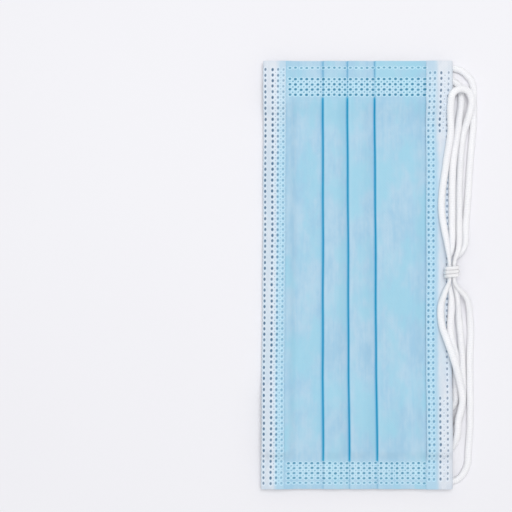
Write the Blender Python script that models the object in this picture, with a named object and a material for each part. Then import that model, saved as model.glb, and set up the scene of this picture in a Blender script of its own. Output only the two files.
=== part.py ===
"""A three-pleat surgical face mask that lies flat, blue face up, with its two ear loops tied beside it.

Metres, +Z up. The origin is at the bottom centre of the mask. +X points to the nose edge, which holds
the wire, and +Y runs along the mask's length. Both ends of the mask rest on its loops.
"""

import math

import bmesh
import bpy
import numpy as np

MM = 0.001

# The folded mask
MASK_LENGTH = 175.0 * MM
MASK_WIDTH = 78.5 * MM
CLOTH = 1.0 * MM
LAYER_GAP = 0.3 * MM

# Pleats: the fold edges, as shares of the mask's width from its middle line
PLEAT_FOLDS = (-0.180, -0.047, 0.0955)
PLEAT_TUCK = 6.0 * MM
PLEAT_CLEARANCE = 0.2 * MM
NOSE_SLOPE_END = 0.255
CHIN_SLOPE_LENGTH = 5.0 * MM

# Bindings folded round the two long edges, and how far each one stands past the panel in it
CHIN_BAND = 9.9 * MM
CHIN_MARGIN = 5.0 * MM
NOSE_BAND = 11.0 * MM
NOSE_MARGIN = 6.5 * MM

# Wire in the nose band
WIRE_LENGTH = 107.0 * MM
WIRE_WIDTH = 3.0 * MM
WIRE_CHAMFER = 0.25 * MM

# Elastic of the ear loops
ELASTIC = 2.6 * MM
END_CLEARANCE = 0.3 * MM
STRAIGHT_STEP = 5.0 * MM
BEND_STEP = 3.6 * MM
STEP_PER_RADIUS = 0.6

# The ends of the mask rise over the loops between these shares of half the length
UPPER_RISE = (0.69, 0.88)
LOWER_RISE = (0.42, 0.635)
LIFT_STEPS = 6
LEG_CLEARANCE = 0.4 * MM
LIFT = ELASTIC + LEG_CLEARANCE

# Tie round the four strands, on the nose band near its edge
TIE_GAP = 0.3 * MM
TIE_INSET = 0.95 * MM
TIE_Y = 1.4 * MM
TIE_LENGTH = 6.0 * MM
TIE_WRAPS = 3
TIE_WALL = 1.0 * MM
TIE_GROOVE = 0.5 * MM
TIE_HOLE = 4.2 * MM
TIE_CORNER = 1.3 * MM

# Welded ends of the loops
WELD_LENGTH = 8.0 * MM
WELD_WIDTH = 4.4 * MM
WELD_THICKNESS = 1.3 * MM
WELD_EDGE = 0.4 * MM

# What follows from these sizes
HALF_WIDTH = MASK_WIDTH / 2
HALF_LENGTH = MASK_LENGTH / 2
PITCH = CLOTH + LAYER_GAP
LEVEL_LOW = CLOTH / 2
LEVEL_MIDDLE = LEVEL_LOW + PITCH
LEVEL_HIGH = LEVEL_MIDDLE + PITCH
FOLD_STEPS = 5
SLOPE_STEPS = 5

# Columns of a route: x, y and z in millimetres, and the thickness as a share of the elastic's.
# Upper loop: from the nose corner down the outside to the tie, round under the mask's lower end, and back
# up through the tie to the chin corner.
UPPER_ROUTE = (
    (32.4, 84.6, 1.75, 0.80),
    (43.4, 83.6, 1.35, 1.00),
    (47.1, 79.8, 1.35, 1.00),
    (48.0, 71.0, 1.35, 1.00),
    (46.6, 45.0, 1.35, 1.00),
    (44.9, 21.0, 1.50, 1.00),
    (43.7, 11.0, 3.80, 0.90),
    (39.25, 4.9, 6.05, 0.57),
    (39.25, 1.4, 6.05, 0.57),
    (39.25, -2.1, 6.05, 0.57),
    (40.9, -8.5, 4.20, 0.85),
    (41.9, -17.0, 1.60, 1.00),
    (43.5, -38.0, 1.35, 1.00),
    (43.3, -53.5, 1.35, 1.00),
    (41.6, -61.0, 1.35, 1.00),
    (34.2, -67.4, 1.35, 1.00),
    (30.4, -65.8, 1.35, 1.00),
    (28.9, -62.1, 1.35, 1.00),
    (30.4, -58.4, 1.35, 1.00),
    (34.2, -56.8, 1.35, 1.00),
    (37.8, -56.0, 1.35, 1.00),
    (40.1, -53.0, 1.35, 1.00),
    (40.7, -48.0, 1.35, 1.00),
    (40.75, -41.0, 1.40, 1.00),
    (40.5, -34.0, 3.80, 1.00),
    (38.3, -25.0, 5.20, 1.00),
    (38.4, -9.0, 5.40, 0.90),
    (37.35, -2.1, 6.05, 0.57),
    (37.35, 1.4, 6.05, 0.57),
    (37.35, 4.9, 6.05, 0.57),
    (38.6, 11.0, 5.30, 0.90),
    (38.8, 21.0, 4.75, 1.00),
    (39.3, 46.0, 4.75, 1.00),
    (42.0, 63.0, 2.00, 1.00),
    (43.0, 71.5, 1.40, 1.00),
    (42.2, 77.4, 1.35, 1.00),
    (37.9, 80.3, 1.35, 1.00),
    (28.0, 80.6, 1.35, 1.00),
    (-20.0, 80.6, 1.40, 1.00),
    (-28.4, 80.5, 1.75, 0.80),
)
# Lower loop: from the nose corner up the outside to the tie, round beside the mask's upper end, and back
# down through the tie over the other loop to the chin corner.
LOWER_ROUTE = (
    (32.4, -84.6, 1.75, 0.80),
    (42.0, -83.6, 1.35, 1.00),
    (45.0, -79.4, 1.35, 1.00),
    (46.0, -71.0, 1.35, 1.00),
    (46.6, -33.0, 1.35, 1.00),
    (46.8, -20.0, 1.45, 1.00),
    (45.0, -10.0, 4.20, 0.90),
    (39.25, -2.1, 7.95, 0.57),
    (39.25, 1.4, 7.95, 0.57),
    (39.25, 4.9, 7.95, 0.57),
    (41.2, 10.5, 6.20, 0.85),
    (42.0, 20.0, 2.30, 1.00),
    (42.2, 36.0, 1.35, 1.00),
    (44.2, 59.0, 1.70, 1.00),
    (46.3, 66.8, 3.70, 1.00),
    (46.8, 71.4, 4.70, 1.00),
    (45.2, 74.8, 5.60, 1.00),
    (41.6, 75.7, 6.90, 1.00),
    (38.6, 73.6, 7.80, 1.00),
    (38.0, 69.8, 7.20, 1.00),
    (38.2, 58.5, 5.40, 1.00),
    (36.4, 46.0, 5.25, 1.00),
    (34.5, 27.0, 5.30, 1.00),
    (36.6, 11.5, 7.05, 0.85),
    (37.35, 4.9, 7.95, 0.57),
    (37.35, 1.4, 7.95, 0.57),
    (37.35, -2.1, 7.95, 0.57),
    (35.7, -6.8, 6.90, 0.85),
    (34.2, -13.0, 5.30, 1.00),
    (34.6, -20.5, 5.60, 1.00),
    (36.8, -27.5, 7.70, 1.00),
    (39.4, -35.0, 7.20, 1.00),
    (42.0, -44.0, 4.60, 1.00),
    (43.1, -51.0, 4.25, 1.00),
    (41.3, -60.0, 4.50, 1.00),
    (41.0, -65.5, 3.90, 1.00),
    (38.9, -71.5, 1.45, 1.00),
    (34.0, -77.0, 1.35, 1.00),
    (24.0, -80.0, 1.35, 1.00),
    (-28.4, -80.5, 1.75, 0.80),
)


def clear_scene():
    for old in list(bpy.data.objects):
        bpy.data.objects.remove(old, do_unlink=True)


def linear(value):
    """One display colour channel, from 0 to 255, as scene-linear light."""
    share = value / 255
    return share / 12.92 if share <= 0.04045 else ((share + 0.055) / 1.055) ** 2.4


def make_material(name, display, roughness, metallic=0.0):
    material = bpy.data.materials.new(name)
    material.use_nodes = True
    shader = material.node_tree.nodes["Principled BSDF"]
    shader.inputs["Base Color"].default_value = (*[linear(c) for c in display], 1.0)
    shader.inputs["Roughness"].default_value = roughness
    shader.inputs["Metallic"].default_value = metallic
    return material


def add_object(name, data, material):
    data.materials.append(material)
    added = bpy.data.objects.new(name, data)
    bpy.context.scene.collection.objects.link(added)
    return added


def finish_mesh(name, shape, material, sharp_angle=math.radians(50)):
    bmesh.ops.recalc_face_normals(shape, faces=shape.faces)
    mesh = bpy.data.meshes.new(name)
    shape.to_mesh(mesh)
    shape.free()
    mesh.shade_smooth()
    mesh.set_sharp_from_angle(angle=sharp_angle)
    return add_object(name, mesh, material)


def ease(share):
    """A smooth step from 0 to 1."""
    share = min(1.0, max(0.0, share))
    return share * share * (3 - 2 * share)


def lift(y):
    """How high the underside of the mask lies at this place along its length."""
    start, end = UPPER_RISE if y > 0 else LOWER_RISE
    return LIFT * ease((abs(y) / HALF_LENGTH - start) / (end - start))


def rise_places(start, end):
    """Places from the middle to one end where the sections are set, close together where the mask rises."""
    shares = [start + (end - start) * i / LIFT_STEPS for i in range(LIFT_STEPS + 1)]
    return [share * HALF_LENGTH for share in shares + [1.0]]


def stations():
    """Places along the whole length where the sections of the mask are set."""
    return [-y for y in reversed(rise_places(*LOWER_RISE))] + [0.0] + rise_places(*UPPER_RISE)


def fold(x, low, radius, side):
    """Half a turn of the cloth from one level up to the next, round a centre at x.

    Each point is x, z and the heading of the cloth. Side is 1 for a fold that faces +X.
    """
    points = []
    for i in range(FOLD_STEPS + 1):
        turn = math.pi * i / FOLD_STEPS
        heading = turn if side > 0 else math.pi - turn
        points.append((x + side * radius * math.sin(turn), low + radius - radius * math.cos(turn), heading))
    return points


def slope(x0, z0, x1, z1):
    """A smooth step of the cloth from one level to another, toward +X."""
    points = []
    for i in range(SLOPE_STEPS + 1):
        share = i / SLOPE_STEPS
        grade = (z1 - z0) / (x1 - x0) * 6 * share * (1 - share)
        points.append((x0 + (x1 - x0) * share, z0 + (z1 - z0) * ease(share), math.atan(grade)))
    return points


def wall_outline(path):
    """The closed outline of a cloth wall whose middle follows the path."""
    half = CLOTH / 2
    over = [(x - half * math.sin(a), z + half * math.cos(a)) for x, z, a in path]
    under = [(x + half * math.sin(a), z - half * math.cos(a)) for x, z, a in path]
    return over + under[::-1]


def loft(outline, places, rise):
    """A closed body through copies of the outline set at places along Y, each raised by rise(y)."""
    shape = bmesh.new()
    rings = [[shape.verts.new((x, y, z + rise(y))) for x, z in outline] for y in places]
    count = len(outline)
    for near, far in zip(rings, rings[1:]):
        for i in range(count):
            j = (i + 1) % count
            shape.faces.new((near[i], near[j], far[j], far[i]))
    shape.faces.new(rings[0])
    shape.faces.new(rings[-1][::-1])
    return shape


def panel_path():
    """The middle of the panel's wall across the mask, from the chin edge to the nose edge."""
    radius = PITCH / 2
    edge = radius + CLOTH / 2
    chin_slope = -HALF_WIDTH + CHIN_BAND + LAYER_GAP
    path = [(-HALF_WIDTH + CHIN_MARGIN, LEVEL_MIDDLE, 0.0)]
    path += slope(chin_slope, LEVEL_MIDDLE, chin_slope + CHIN_SLOPE_LENGTH, LEVEL_LOW)
    folds = [share * MASK_WIDTH for share in PLEAT_FOLDS]
    landings = [(x - PLEAT_CLEARANCE, LEVEL_LOW) for x in folds[1:]]
    landings.append((NOSE_SLOPE_END * MASK_WIDTH, LEVEL_MIDDLE))
    for x, (landing, level) in zip(folds, landings):
        inner = x + PLEAT_TUCK - edge
        path += fold(inner, LEVEL_LOW, radius, 1)
        path += fold(x + edge, LEVEL_MIDDLE, radius, -1)
        path += slope(inner, LEVEL_HIGH, landing, level)
    path.append((HALF_WIDTH - NOSE_MARGIN, LEVEL_MIDDLE, 0.0))
    return path


def make_panel(material):
    return finish_mesh("pleated_panel", loft(wall_outline(panel_path()), stations(), lift), material)


def make_band(name, side, width, material):
    """A binding folded round a long edge: two flat legs joined by a round fold at the edge."""
    centre = HALF_WIDTH - PITCH - CLOTH / 2
    inner_end = HALF_WIDTH - width
    bend = fold(side * centre, LEVEL_LOW, PITCH, side)
    legs = 0.0 if side > 0 else math.pi
    path = [(side * inner_end, LEVEL_LOW, legs)] + bend + [(side * inner_end, LEVEL_HIGH, math.pi - legs)]
    return finish_mesh(name, loft(wall_outline(path), stations(), lift), material)


def make_wire(material):
    """A flat wire with chamfered edges, halfway between the panel's edge and the band's fold."""
    room_start = HALF_WIDTH - NOSE_MARGIN
    room_end = HALF_WIDTH - PITCH - CLOTH / 2
    middle = (room_start + room_end) / 2
    half_w = WIRE_WIDTH / 2
    half_t = CLOTH / 2
    cut = WIRE_CHAMFER
    corners = ((1, 1), (-1, 1), (-1, -1), (1, -1))
    outline = []
    for sx, sz in corners:
        ends = [(sx * half_w, sz * (half_t - cut)), (sx * (half_w - cut), sz * half_t)]
        outline += ends if sx * sz > 0 else ends[::-1]
    placed = [(middle + x, LEVEL_MIDDLE + z) for x, z in outline]
    half = WIRE_LENGTH / 2
    places = [-half, *[y for y in stations() if abs(y) < half - MM], half]
    return finish_mesh("nose_wire", loft(placed, places, lift), material)


def smooth_curve(route, fine_step=0.5 * MM):
    """Points close together on a smooth curve through a route's own points, in metres, with the share."""
    rows = np.array(route, float) * (MM, MM, MM, 1.0)
    gaps = np.linalg.norm(np.diff(rows[:, :3], axis=0), axis=1)
    slopes = np.diff(rows, axis=0) / gaps[:, None]
    tangents = np.empty_like(rows)
    tangents[0] = slopes[0]
    tangents[-1] = slopes[-1]
    before = gaps[:-1, None]
    after = gaps[1:, None]
    tangents[1:-1] = (slopes[:-1] * after + slopes[1:] * before) / (before + after)
    curve = []
    for i, gap in enumerate(gaps):
        count = max(2, round(gap / fine_step))
        for t in np.arange(count) / count:
            start = (1 + 2 * t) * (1 - t) ** 2
            end = t * t * (3 - 2 * t)
            leave = gap * t * (1 - t) ** 2
            arrive = gap * t * t * (t - 1)
            point = start * rows[i] + end * rows[i + 1] + leave * tangents[i] + arrive * tangents[i + 1]
            curve.append(point)
    curve = np.array(curve + [rows[-1]])
    curve[:, 3] = np.minimum(curve[:, 3], 1.0)
    curve[:, 2] = np.maximum(curve[:, 2], curve[:, 3] * ELASTIC / 2)
    return curve


def read_curve(curve):
    """Fewer points of the curve, close together where it bends and further apart where it runs straight."""
    line = curve[:, :3]
    steps = np.linalg.norm(np.diff(line, axis=0), axis=1)
    along = np.concatenate([[0.0], np.cumsum(steps)])
    headings = np.diff(line, axis=0) / steps[:, None]
    turns = np.arccos(np.clip((headings[:-1] * headings[1:]).sum(axis=1), -1.0, 1.0))
    window = 9
    turning = np.convolve(turns, np.ones(window) / window, mode="same")
    radius = steps[:-1] / np.maximum(turning, 1e-6)
    spacing = np.clip(STEP_PER_RADIUS * np.append(radius, radius[-1]), BEND_STEP, STRAIGHT_STEP)
    density = np.concatenate([[0.0], np.cumsum(steps / spacing)])
    marks = np.linspace(0.0, density[-1], math.ceil(density[-1]) + 1)
    places = np.interp(marks, density, along)
    return np.stack([np.interp(places, along, curve[:, k]) for k in range(4)], axis=1)


def make_loop(name, route, material):
    data = bpy.data.curves.new(name, "CURVE")
    data.dimensions = "3D"
    data.bevel_depth = ELASTIC / 2
    data.bevel_resolution = 2
    data.use_fill_caps = True
    points = read_curve(smooth_curve(route))
    spline = data.splines.new("POLY")
    spline.points.add(len(points) - 1)
    for target, (x, y, z, share) in zip(spline.points, points):
        target.co = (x, y, z, 1.0)
        target.radius = share
    spline.use_smooth = True
    return add_object(name, data, material)


def rounded_square(half, corner, per_corner=4):
    """The outline of a square of this half width whose corners are round, as x and z."""
    outline = []
    for quarter in range(4):
        start = quarter * math.pi / 2
        sx = 1 if quarter in (0, 3) else -1
        sz = 1 if quarter in (0, 1) else -1
        for i in range(per_corner):
            angle = start + math.pi / 2 * i / (per_corner - 1)
            x = sx * (half - corner) + corner * math.cos(angle)
            z = sz * (half - corner) + corner * math.sin(angle)
            outline.append((x, z))
    return outline


def make_tie(material):
    """Wraps fused side by side round the strands, open along Y, that rest on the nose band near its edge."""
    hole = TIE_HOLE / 2
    height = LEVEL_HIGH + CLOTH / 2 + TIE_GAP + hole + TIE_WALL
    middle = HALF_WIDTH - TIE_INSET
    per_wrap = 5
    rings = []
    shape = bmesh.new()
    for i in range(TIE_WRAPS * per_wrap + 1):
        share = i / per_wrap
        wall = TIE_GROOVE + (TIE_WALL - TIE_GROOVE) * abs(math.sin(math.pi * share))
        y = TIE_Y - TIE_LENGTH / 2 + TIE_LENGTH * share / TIE_WRAPS
        outline = rounded_square(hole + wall, TIE_CORNER + wall)
        rings.append([shape.verts.new((middle + x, y, height + z)) for x, z in outline])
    ends = []
    for y in (TIE_Y + TIE_LENGTH / 2, TIE_Y - TIE_LENGTH / 2):
        outline = rounded_square(hole, TIE_CORNER)
        ends.append([shape.verts.new((middle + x, y, height + z)) for x, z in outline])
    rings += ends
    for near, far in zip(rings, rings[1:] + rings[:1]):
        for i in range(len(near)):
            j = (i + 1) % len(near)
            shape.faces.new((near[i], near[j], far[j], far[i]))
    return finish_mesh("loop_tie", shape, material)


def make_weld(name, route_end, material):
    """The flattened end of a loop, just under the mask's end and past the end of the route."""
    x = route_end[0] * MM - END_CLEARANCE - WELD_LENGTH / 2
    y = route_end[1] * MM
    shape = bmesh.new()
    bmesh.ops.create_cube(shape, size=1.0)
    bmesh.ops.scale(shape, vec=(WELD_LENGTH, WELD_WIDTH, WELD_THICKNESS), verts=shape.verts)
    top = LIFT - LAYER_GAP
    bmesh.ops.translate(shape, vec=(x, y, top - WELD_THICKNESS / 2), verts=shape.verts)
    bmesh.ops.bevel(shape, geom=list(shape.edges), offset=WELD_EDGE, segments=2, affect="EDGES", profile=0.5)
    return finish_mesh(name, shape, material)


def build():
    clear_scene()
    blue = make_material("blue_spunbond", (172, 209, 232), 0.85)
    white = make_material("white_spunbond", (232, 238, 243), 0.85)
    elastic = make_material("white_elastic", (243, 244, 248), 0.75)
    wire = make_material("coated_wire", (236, 238, 240), 0.45)
    make_panel(blue)
    make_band("nose_band", 1, NOSE_BAND, white)
    make_band("chin_band", -1, CHIN_BAND, white)
    make_wire(wire)
    make_loop("ear_loop_upper", UPPER_ROUTE, elastic)
    make_loop("ear_loop_lower", LOWER_ROUTE, elastic)
    make_tie(elastic)
    for end, route in (("upper", UPPER_ROUTE), ("lower", LOWER_ROUTE)):
        make_weld(f"loop_weld_{end}_nose", route[0], elastic)
        make_weld(f"loop_weld_{end}_chin", route[-1], elastic)


build()
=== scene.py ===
"""The looks of a folded three-pleat surgical face mask that lies blue face up, its ear loops tied beside it.

Metres, +Z up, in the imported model's frame: +X points to the nose edge and +Y runs along the mask.
The cloth is made of thin closed plies swept along the mask. Every ply goes through settle(), so the
folded stack rises over the loop legs, is pressed thin in the end seals and dents at each weld dot as one.
"""

import math

import bmesh
import bpy
import numpy as np
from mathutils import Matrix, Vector


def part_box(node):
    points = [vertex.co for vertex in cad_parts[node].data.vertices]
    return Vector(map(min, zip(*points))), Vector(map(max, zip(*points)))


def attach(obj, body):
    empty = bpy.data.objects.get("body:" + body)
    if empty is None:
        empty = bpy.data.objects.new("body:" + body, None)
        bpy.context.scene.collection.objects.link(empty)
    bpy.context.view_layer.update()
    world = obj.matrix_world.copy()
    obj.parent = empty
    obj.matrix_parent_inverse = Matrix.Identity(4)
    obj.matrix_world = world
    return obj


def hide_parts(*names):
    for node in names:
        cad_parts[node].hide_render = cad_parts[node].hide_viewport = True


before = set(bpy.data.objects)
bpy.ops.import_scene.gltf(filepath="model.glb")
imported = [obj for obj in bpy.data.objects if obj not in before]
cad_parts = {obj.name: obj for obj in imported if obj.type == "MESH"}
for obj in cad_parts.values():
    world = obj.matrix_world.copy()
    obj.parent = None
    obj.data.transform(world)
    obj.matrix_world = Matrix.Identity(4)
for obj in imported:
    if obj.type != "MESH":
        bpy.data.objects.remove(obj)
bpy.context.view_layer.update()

MM = 0.001

# The folded mask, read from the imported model
HALF_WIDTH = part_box("nose_band")[1].x
HALF_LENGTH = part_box("nose_band")[1].y
CHIN_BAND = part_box("chin_band")[1].x + HALF_WIDTH
NOSE_BAND = HALF_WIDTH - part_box("nose_band")[0].x
CHIN_MARGIN = HALF_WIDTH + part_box("pleated_panel")[0].x
NOSE_MARGIN = HALF_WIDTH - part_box("pleated_panel")[1].x
WIRE_LOW, WIRE_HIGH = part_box("nose_wire")

# Levels of the folded layers
CLOTH = 1.0 * MM
PITCH = 1.3 * MM
LEVEL_LOW = CLOTH / 2
LEVEL_MIDDLE = LEVEL_LOW + PITCH
LEVEL_HIGH = LEVEL_MIDDLE + PITCH

# Pleats: the fold edges, as shares of the mask's width from its middle line
PLEAT_FOLDS = (-0.180, -0.047, 0.0955)
PLEAT_TUCK = 6.0 * MM
PLEAT_CLEARANCE = 0.2 * MM
NOSE_SLOPE_END = 0.255
CHIN_SLOPE_LENGTH = 5.0 * MM
CHIN_SLOPE_GAP = 0.3 * MM

# In front of each fold edge the cloth's rows are close together, for the deep line there, partly painted
# shade
LINE_ZONE = 1.4 * MM
LINE_STEP = 0.2 * MM

# Real cloth: two plies of the panel and the binding, each lying in the space of one modelled wall
PLY = 0.45 * MM
PLY_OFFSET = 0.27 * MM
BINDING = 0.6 * MM
BINDING_OFFSET = 0.2 * MM

# Share of its thickness that all cloth keeps at the mask's ends and a binding at its long cut edges, and
# how far in from these edges a binding grows to its full thickness
CUT_END = 0.6
CUT_EDGE = 0.35
CUT_EDGE_RUN = 0.9 * MM

# Sections of the cloth along the mask: their distance apart, which is small in the end zones
PANEL_STEPS = (2.6 * MM, 0.34 * MM)
PANEL_END_ZONE = 17.0 * MM
BAND_STEPS = (0.385 * MM, 0.385 * MM)
BAND_END_ZONE = 12.0 * MM

# The panel's blue shows through a binding from here inward, over this width, and outside of it with this
# share. It shows less on the underside and toward the upper end
CHIN_SHOW = (34.0 * MM, 2.6 * MM, 0.28)
NOSE_SHOW = (35.0 * MM, 3.6 * MM, 0.0)
SHOW_BELOW = 0.35
SHOW_LESS = 0.4
SHOW_LESS_ZONE = (40 * MM, 70 * MM)

# The ends rise over the loops, between these shares of half the length
UPPER_RISE = (0.69, 0.88)
LOWER_RISE = (0.42, 0.635)
LIFT = 3.0 * MM

# The share by which the stack is pressed thinner: over the pleats, from the first distance from the mask's
# middle line in to the second, in the seals of the upper and the lower end, and in the weld dots
PLEAT_PRESS = 0.48
PLEAT_ZONE = (27.5 * MM, 23.5 * MM)
SEAL_PRESS = 0.55
SEAL_START = (69.0 * MM, 71.5 * MM)
SEAL_RUN = 4.5 * MM
DOT_DENT = 0.15

# Where the pleats' deep lines, partly painted shade, fade at the upper and the lower end, and by what share
LINE_END = (71.8 * MM, 75.6 * MM)
LINE_END_RUN = 1.4 * MM
LINE_FADE = (0.55, 0.85)

# The stack stands higher by this share over the wire. The share fades between these distances from the
# wire's middle line, and over this run at each end of the wire
WIRE_RIDGE = 0.05
WIRE_ASIDE = (2.7 * MM, 0.7 * MM)
WIRE_ENDS = 3.0 * MM

# The cloth swells and sways a little: the height of each wave, and its length across and along the mask
# divided by two pi
SWELL = (0.06 * MM, 7.0 * MM, 9.5 * MM)
SLOW_SWAY = (0.08 * MM, 24.0 * MM)
QUICK_SWAY = (0.05 * MM, 30.0 * MM, 6.3 * MM)

# The folds lie slightly out of true. In millimetres: a place across the mask, how far the cloth there
# lies to the right, and how much further still for each 80 mm along the mask
LEAN_RUN = 80 * MM
LEAN = (
    (-39.0, 0.10, 0.42),
    (-35.0, 0.00, 0.42),
    (-30.0, -0.04, 0.42),
    (-14.1, 0.38, -0.03),
    (-3.7, 0.32, -0.43),
    (7.5, 0.42, -0.54),
    (29.0, 0.05, 0.00),
    (39.0, 0.00, 0.00),
)

# Places of weld dots, in millimetres: the first one, their pitch and their count
CHIN_DOTS = (-85.1, 2.253, 76)
CHIN_BETWEEN = (-83.97, 2.253, 75)
NOSE_DOTS = (-83.3, 2.37, 71)
NOSE_BETWEEN = (-82.1, 2.37, 70)
SEAL_DOTS = (-27.6, 2.29, 25)
SEAL_BETWEEN = (-26.45, 2.29, 24)

# Grids of weld dots: the places across and along the mask, and each dot's half width and half length in
# millimetres, its strength and its darkness
DOT_GRIDS = (
    ((-37.75, 1.0, 1), CHIN_DOTS, 0.48, 0.68, 1.0, 0.86),
    ((-34.75, 1.0, 1), CHIN_DOTS, 0.50, 0.68, 1.0, 0.92),
    ((-32.55, 1.0, 1), CHIN_DOTS, 0.46, 0.62, 1.0, 0.70),
    ((-30.30, 1.0, 1), CHIN_DOTS, 0.50, 0.56, 0.95, 0.36),
    ((-33.6, 1.0, 1), CHIN_BETWEEN, 0.36, 0.42, 0.78, 0.18),
    ((-31.4, 1.0, 1), CHIN_BETWEEN, 0.36, 0.46, 0.78, 0.22),
    ((29.3, 1.0, 1), NOSE_DOTS, 0.46, 0.60, 1.0, 0.66),
    ((31.25, 1.0, 1), NOSE_DOTS, 0.48, 0.60, 0.98, 0.56),
    ((30.35, 1.0, 1), NOSE_BETWEEN, 0.34, 0.44, 0.76, 0.22),
    ((33.9, 1.0, 1), (-83.3, 2.37, 15), 0.46, 0.70, 1.0, 0.74),
    ((33.9, 1.0, 1), (58.9, 2.37, 11), 0.46, 0.70, 1.0, 0.74),
    ((36.9, 1.0, 1), NOSE_DOTS, 0.42, 0.64, 0.96, 0.46),
    ((35.4, 1.0, 1), (-82.1, 2.37, 14), 0.40, 0.50, 0.76, 0.16),
    ((35.4, 1.0, 1), (60.1, 2.37, 10), 0.40, 0.50, 0.76, 0.16),
    (SEAL_DOTS, (73.7, 2.13, 4), 0.60, 0.50, 1.0, 0.98),
    (SEAL_BETWEEN, (74.77, 2.13, 3), 0.44, 0.38, 0.82, 0.62),
    (SEAL_DOTS, (84.7, 1.0, 1), 0.60, 0.42, 0.95, 0.6),
    (SEAL_DOTS, (-83.1, 2.06, 4), 0.60, 0.46, 1.0, 0.72),
    (SEAL_BETWEEN, (-82.07, 2.06, 3), 0.42, 0.36, 0.78, 0.36),
    (SEAL_DOTS, (-85.0, 1.0, 1), 0.60, 0.42, 0.95, 0.5),
)

# How unlike each other the dots are: in place, in millimetres, and as shares in strength and darkness
DOT_SCATTER = (0.06, 0.10)
DOT_STRENGTHS = 0.05
DOT_INKS = 0.16

# The columns beside the wire bend outward toward the upper and the lower end of the mask, by up to this much
NOSE_BOW = (0.55 * MM, 0.15 * MM)
BOW_ALONG = (58.0 * MM, 82.0 * MM)
BOW_ACROSS = (25.0 * MM, 29.0 * MM)

# Elastic of the ear loops. Where its share of the thickness comes near 1 it is loose, and lies wider and
# flatter by these shares
ELASTIC = 2.6 * MM
LOOSE_FROM = 0.9
LOOSE_WIDER = 0.11
LOOSE_FLATTER = 0.12

# Rings of the elastic's tubes: their distance apart along a loop, and the points of each ring
RING_STEP = 0.8 * MM
CORD_SIDES = 16

# Wraps of the tie: the strand's width and depth, how far the middle wrap stands off, the room inside and
# its round corners, the points of a turn, where the first one starts, how soon a side of its square is
# reached, and how thin the strand's ends are
TIE_TURNS = 3
TIE_STRAND = 1.5 * MM
TIE_DEPTH = 1.05 * MM
TIE_SLACK = 0.15 * MM
TIE_HOLE = 4.2 * MM
TIE_CORNER = 1.3 * MM
TIE_STEPS = 48
TIE_FIRST_ANGLE = -0.55 * math.pi
TIE_SQUARENESS = 1.9
TIE_THIN_END = 0.35

# Weld pads: the share of its width that one keeps toward the cord, the rim and the wall round its pressed
# middle, the depth of that, and the rounding of the edges
PAD_NARROW = 0.62
PAD_RIM = 0.8 * MM
PAD_WALL = 0.25 * MM
PAD_PRESS = 0.3 * MM
PAD_ROUNDING = 0.28 * MM

# Routes of the two loops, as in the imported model: x, y and z in millimetres, and the thickness as a
# share of the elastic's. Each goes from its nose corner through the tie and back to its chin corner.
UPPER_ROUTE = (
    (32.4, 84.6, 1.75, 0.80),
    (43.4, 83.6, 1.35, 1.00),
    (47.1, 79.8, 1.35, 1.00),
    (48.0, 71.0, 1.35, 1.00),
    (46.6, 45.0, 1.35, 1.00),
    (44.9, 21.0, 1.50, 1.00),
    (43.7, 11.0, 3.80, 0.90),
    (39.25, 4.9, 6.05, 0.57),
    (39.25, 1.4, 6.05, 0.57),
    (39.25, -2.1, 6.05, 0.57),
    (40.9, -8.5, 4.20, 0.85),
    (41.9, -17.0, 1.60, 1.00),
    (43.5, -38.0, 1.35, 1.00),
    (43.3, -53.5, 1.35, 1.00),
    (41.6, -61.0, 1.35, 1.00),
    (34.2, -67.4, 1.35, 1.00),
    (30.4, -65.8, 1.35, 1.00),
    (28.9, -62.1, 1.35, 1.00),
    (30.4, -58.4, 1.35, 1.00),
    (34.2, -56.8, 1.35, 1.00),
    (37.8, -56.0, 1.35, 1.00),
    (40.1, -53.0, 1.35, 1.00),
    (40.7, -48.0, 1.35, 1.00),
    (40.75, -41.0, 1.40, 1.00),
    (40.5, -34.0, 3.80, 1.00),
    (38.3, -25.0, 5.20, 1.00),
    (38.4, -9.0, 5.40, 0.90),
    (37.35, -2.1, 6.05, 0.57),
    (37.35, 1.4, 6.05, 0.57),
    (37.35, 4.9, 6.05, 0.57),
    (38.6, 11.0, 5.30, 0.90),
    (38.8, 21.0, 4.75, 1.00),
    (39.3, 46.0, 4.75, 1.00),
    (42.0, 63.0, 2.00, 1.00),
    (43.0, 71.5, 1.40, 1.00),
    (42.2, 77.4, 1.35, 1.00),
    (37.9, 80.3, 1.35, 1.00),
    (28.0, 80.6, 1.35, 1.00),
    (-20.0, 80.6, 1.40, 1.00),
    (-28.4, 80.5, 1.75, 0.80),
)
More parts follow.
